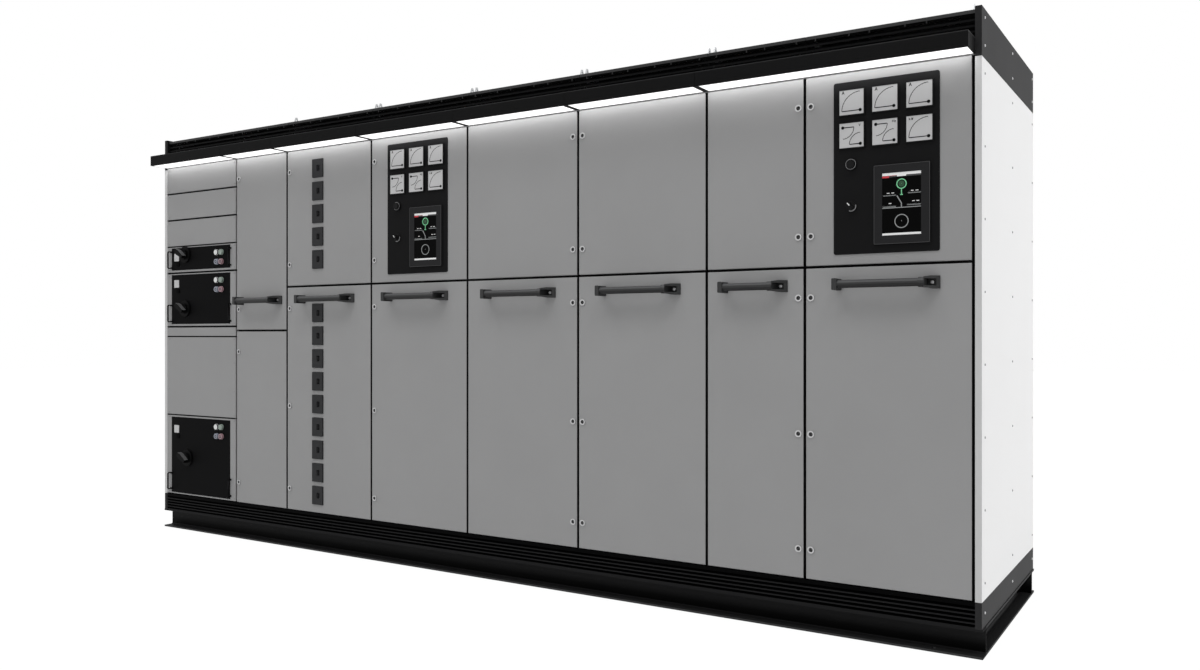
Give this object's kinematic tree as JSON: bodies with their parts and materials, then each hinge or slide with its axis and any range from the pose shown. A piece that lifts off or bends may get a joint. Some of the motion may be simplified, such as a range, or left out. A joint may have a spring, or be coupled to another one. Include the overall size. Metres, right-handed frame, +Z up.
{
  "type": "low-voltage switchgear",
  "caption": "Floor-standing switchgear row with hinged doors, pull bars, instrument panels, withdrawable units, louvred plinth, light hood and channel base.",
  "frame": {"origin": "on the floor at the middle of the row's bounding box", "axes": "+X along the row to the white end panel seen in the picture, +Y from the doors to the rear, +Z up"},
  "size_m": [4.45, 1.155, 2.222],
  "materials": {
    "black_steel": "satin black powder coat",
    "door_grey": "fine textured grey powder coat",
    "panel_white": "white powder coat",
    "fascia_grey": "dark grey powder coat",
    "zinc_sheet": "passivated zinc-coated sheet",
    "eye_steel": "plated steel",
    "copper": "bare copper bar",
    "support_red": "moulded insulation",
    "diffuser": "lit white diffuser",
    "case_grey": "moulded dark grey case",
    "bar_grey": "moulded dark grey handle",
    "panel_black": "smooth black panel",
    "meter_white": "meters with white dials and black display",
    "knob_black": "black moulded knob",
    "unit_black": "black coated front and case"
  },
  "bodies": {
    "root": {"base_frame": "black_steel", "plinth_grille": "black_steel", "frame_posts": "zinc_sheet", "frame_rails": "zinc_sheet", "partition_walls": "zinc_sheet", "compartment_shelves": "zinc_sheet", "mounting_plates": "zinc_sheet", "side_panel_left": "panel_white", "side_panel_right": "panel_white", "side_fascias": "fascia_grey", "roof_plates": "black_steel", "top_grille": "black_steel", "light_hood": "black_steel", "light_diffusers": "diffuser", "lifting_eyes": "eye_steel", "rear_covers": "door_grey", "gland_plates": "zinc_sheet", "column_1_panels": "door_grey", "main_busbars": "copper", "busbar_supports": "support_red", "power_breakers": "case_grey", "feeder_breakers": "case_grey", "hinge_pins": "eye_steel"},
    "door_2_upper": {"door_2_upper": "door_grey", "pull_bar_2": "bar_grey"},
    "door_2_lower": {"door_2_lower": "door_grey"},
    "door_3_upper": {"door_3_upper": "door_grey"},
    "door_3_lower": {"door_3_lower": "door_grey", "pull_bar_3": "bar_grey"},
    "door_4_upper": {"door_4_upper": "door_grey", "instrument_panel_4": "panel_black", "meters_4": "meter_white"},
    "door_4_lower": {"door_4_lower": "door_grey", "pull_bar_4": "bar_grey"},
    "door_5_upper": {"door_5_upper": "door_grey"},
    "door_5_lower": {"door_5_lower": "door_grey", "pull_bar_5": "bar_grey"},
    "door_6_upper": {"door_6_upper": "door_grey"},
    "door_6_lower": {"door_6_lower": "door_grey", "pull_bar_6": "bar_grey"},
    "door_7_upper": {"door_7_upper": "door_grey"},
    "door_7_lower": {"door_7_lower": "door_grey", "pull_bar_7": "bar_grey"},
    "door_8_upper": {"door_8_upper": "door_grey", "instrument_panel_8": "panel_black", "meters_8": "meter_white"},
    "door_8_lower": {"door_8_lower": "door_grey", "pull_bar_8": "bar_grey"},
    "push_button_4": {"push_button_4": "knob_black"},
    "selector_4": {"selector_4": "knob_black"},
    "push_button_8": {"push_button_8": "knob_black"},
    "selector_8": {"selector_8": "knob_black"},
    "unit_1": {"unit_1": "unit_black"},
    "unit_handle_1": {"unit_handle_1": "knob_black"},
    "unit_2": {"unit_2": "unit_black"},
    "unit_handle_2": {"unit_handle_2": "knob_black"},
    "unit_3": {"unit_3": "unit_black"},
    "unit_handle_3": {"unit_handle_3": "knob_black"},
    "feeder_toggles_upper": {"feeder_toggles_upper": "knob_black"},
    "feeder_toggles_lower": {"feeder_toggles_lower": "knob_black"}
  },
  "joints": [
    {"name": "door_2_upper_hinge", "type": "hinge", "parent": "root", "child": "door_2_upper", "pos_m": [-1.214, -0.4625, 1.7], "axis": [0, 0, 1], "range_deg": [0, 105]},
    {"name": "door_2_lower_hinge", "type": "hinge", "parent": "root", "child": "door_2_lower", "pos_m": [-1.214, -0.4625, 0.7], "axis": [0, 0, 1], "range_deg": [0, 105]},
    {"name": "door_3_upper_hinge", "type": "hinge", "parent": "root", "child": "door_3_upper", "pos_m": [-0.614, -0.4625, 1.7], "axis": [0, 0, 1], "range_deg": [0, 105]},
    {"name": "door_3_lower_hinge", "type": "hinge", "parent": "root", "child": "door_3_lower", "pos_m": [-0.614, -0.4625, 0.7], "axis": [0, 0, 1], "range_deg": [0, 105]},
    {"name": "door_4_upper_hinge", "type": "hinge", "parent": "root", "child": "door_4_upper", "pos_m": [-0.014, -0.4625, 1.7], "axis": [0, 0, 1], "range_deg": [0, 105]},
    {"name": "door_4_lower_hinge", "type": "hinge", "parent": "root", "child": "door_4_lower", "pos_m": [-0.014, -0.4625, 0.7], "axis": [0, 0, 1], "range_deg": [0, 105]},
    {"name": "door_5_upper_hinge", "type": "hinge", "parent": "root", "child": "door_5_upper", "pos_m": [0.014, -0.4625, 1.7], "axis": [0, 0, 1], "range_deg": [-105, 0]},
    {"name": "door_5_lower_hinge", "type": "hinge", "parent": "root", "child": "door_5_lower", "pos_m": [0.014, -0.4625, 0.7], "axis": [0, 0, 1], "range_deg": [-105, 0]},
    {"name": "door_6_upper_hinge", "type": "hinge", "parent": "root", "child": "door_6_upper", "pos_m": [1.186, -0.4625, 1.7], "axis": [0, 0, 1], "range_deg": [0, 105]},
    {"name": "door_6_lower_hinge", "type": "hinge", "parent": "root", "child": "door_6_lower", "pos_m": [1.186, -0.4625, 0.7], "axis": [0, 0, 1], "range_deg": [0, 105]},
    {"name": "door_7_upper_hinge", "type": "hinge", "parent": "root", "child": "door_7_upper", "pos_m": [1.214, -0.4625, 1.7], "axis": [0, 0, 1], "range_deg": [-105, 0]},
    {"name": "door_7_lower_hinge", "type": "hinge", "parent": "root", "child": "door_7_lower", "pos_m": [1.214, -0.4625, 0.7], "axis": [0, 0, 1], "range_deg": [-105, 0]},
    {"name": "door_8_upper_hinge", "type": "hinge", "parent": "root", "child": "door_8_upper", "pos_m": [2.181, -0.4625, 1.7], "axis": [0, 0, 1], "range_deg": [0, 105]},
    {"name": "door_8_lower_hinge", "type": "hinge", "parent": "root", "child": "door_8_lower", "pos_m": [2.181, -0.4625, 0.7], "axis": [0, 0, 1], "range_deg": [0, 105]},
    {"name": "push_button_4_press", "type": "slide", "parent": "door_4_upper", "child": "push_button_4", "axis": [0, 1, 0], "range_m": [0, 0.004], "stiffness_N_per_m": 600, "springref_m": -0.001},
    {"name": "selector_4_turn", "type": "hinge", "parent": "door_4_upper", "child": "selector_4", "pos_m": [-0.4235, -0.4725, 1.553], "axis": [0, -1, 0], "range_deg": [-90, 0]},
    {"name": "push_button_8_press", "type": "slide", "parent": "door_8_upper", "child": "push_button_8", "axis": [0, 1, 0], "range_m": [0, 0.004], "stiffness_N_per_m": 600, "springref_m": -0.001},
    {"name": "selector_8_turn", "type": "hinge", "parent": "door_8_upper", "child": "selector_8", "pos_m": [1.7765, -0.4725, 1.553], "axis": [0, -1, 0], "range_deg": [-90, 0]},
    {"name": "unit_1_slide", "type": "slide", "parent": "root", "child": "unit_1", "axis": [0, -1, 0], "range_m": [0, 0.3]},
    {"name": "unit_handle_1_turn", "type": "hinge", "parent": "unit_1", "child": "unit_handle_1", "pos_m": [-2.034, -0.4725, 1.542], "axis": [0, -1, 0], "range_deg": [-90, 0]},
    {"name": "unit_2_slide", "type": "slide", "parent": "root", "child": "unit_2", "axis": [0, -1, 0], "range_m": [0, 0.3]},
    {"name": "unit_handle_2_turn", "type": "hinge", "parent": "unit_2", "child": "unit_handle_2", "pos_m": [-2.034, -0.4725, 1.239], "axis": [0, -1, 0], "range_deg": [-90, 0]},
    {"name": "unit_3_slide", "type": "slide", "parent": "root", "child": "unit_3", "axis": [0, -1, 0], "range_m": [0, 0.3]},
    {"name": "unit_handle_3_turn", "type": "hinge", "parent": "unit_3", "child": "unit_handle_3", "pos_m": [-2.014, -0.4725, 0.404], "axis": [0, -1, 0], "range_deg": [-90, 0]},
    {"name": "feeder_toggles_upper_swing", "type": "hinge", "parent": "root", "child": "feeder_toggles_upper", "pos_m": [-0.9635, -0.4605, 1.7], "axis": [0, 0, 1], "range_deg": [-20, 20]},
    {"name": "feeder_toggles_lower_swing", "type": "hinge", "parent": "root", "child": "feeder_toggles_lower", "pos_m": [-0.9635, -0.4605, 0.7], "axis": [0, 0, 1], "range_deg": [-20, 20]}
  ]
}
